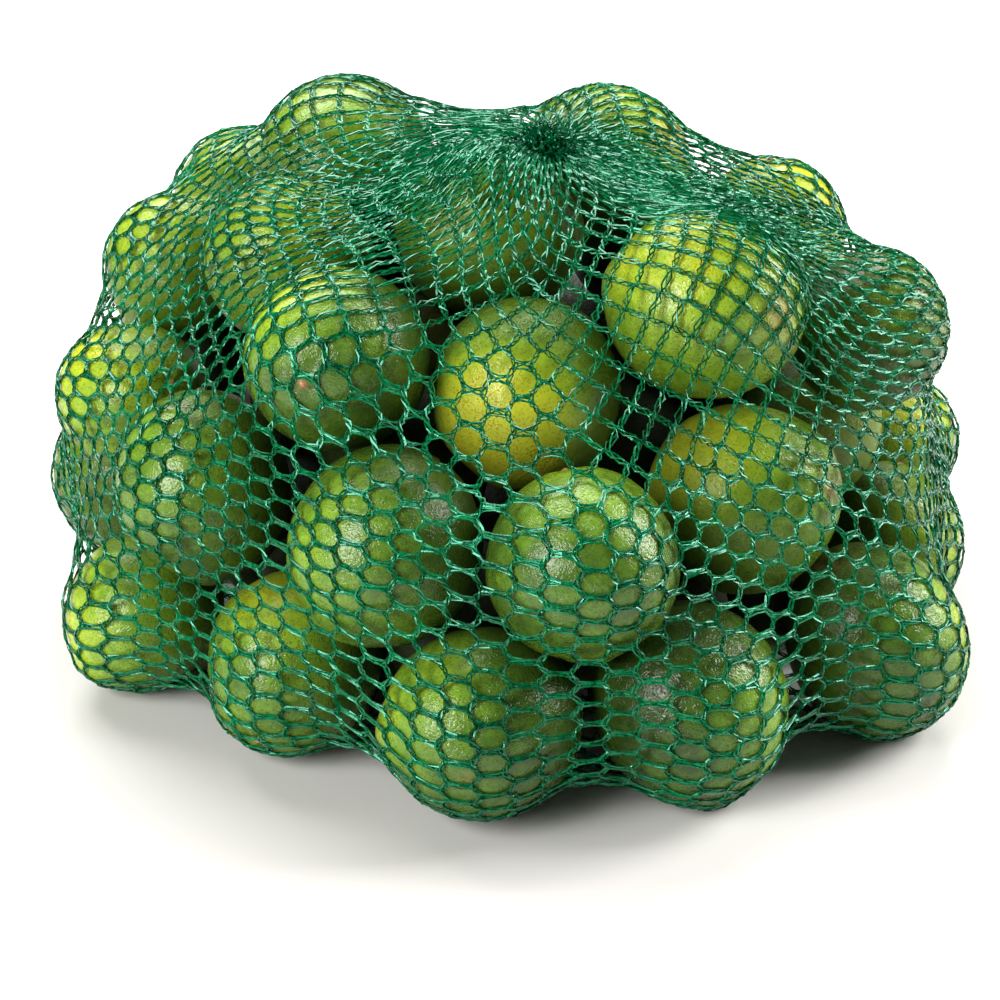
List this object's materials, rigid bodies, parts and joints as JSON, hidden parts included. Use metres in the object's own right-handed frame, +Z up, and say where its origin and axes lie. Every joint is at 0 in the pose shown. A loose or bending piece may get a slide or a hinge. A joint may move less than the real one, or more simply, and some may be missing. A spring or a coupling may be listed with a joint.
{
  "type": "net bag of limes",
  "caption": "Lumpy free-standing bag of fresh limes held in a tight green knitted net, gathered in a knot on top, resting on a flattened base.",
  "frame": {"origin": "middle of the bag's outline, on the surface it stands on", "axes": "+Z up, +X to the right along the bag's width, -Y towards the front"},
  "size_m": [0.2776, 0.2441, 0.1559],
  "materials": {
    "net_yarn": "glossy knitted polyethylene yarn",
    "lime_skin": "waxed citrus peel, half gloss, fine pores"
  },
  "bodies": {
    "root": {"lime_bag": "net_yarn"}
  },
  "joints": []
}
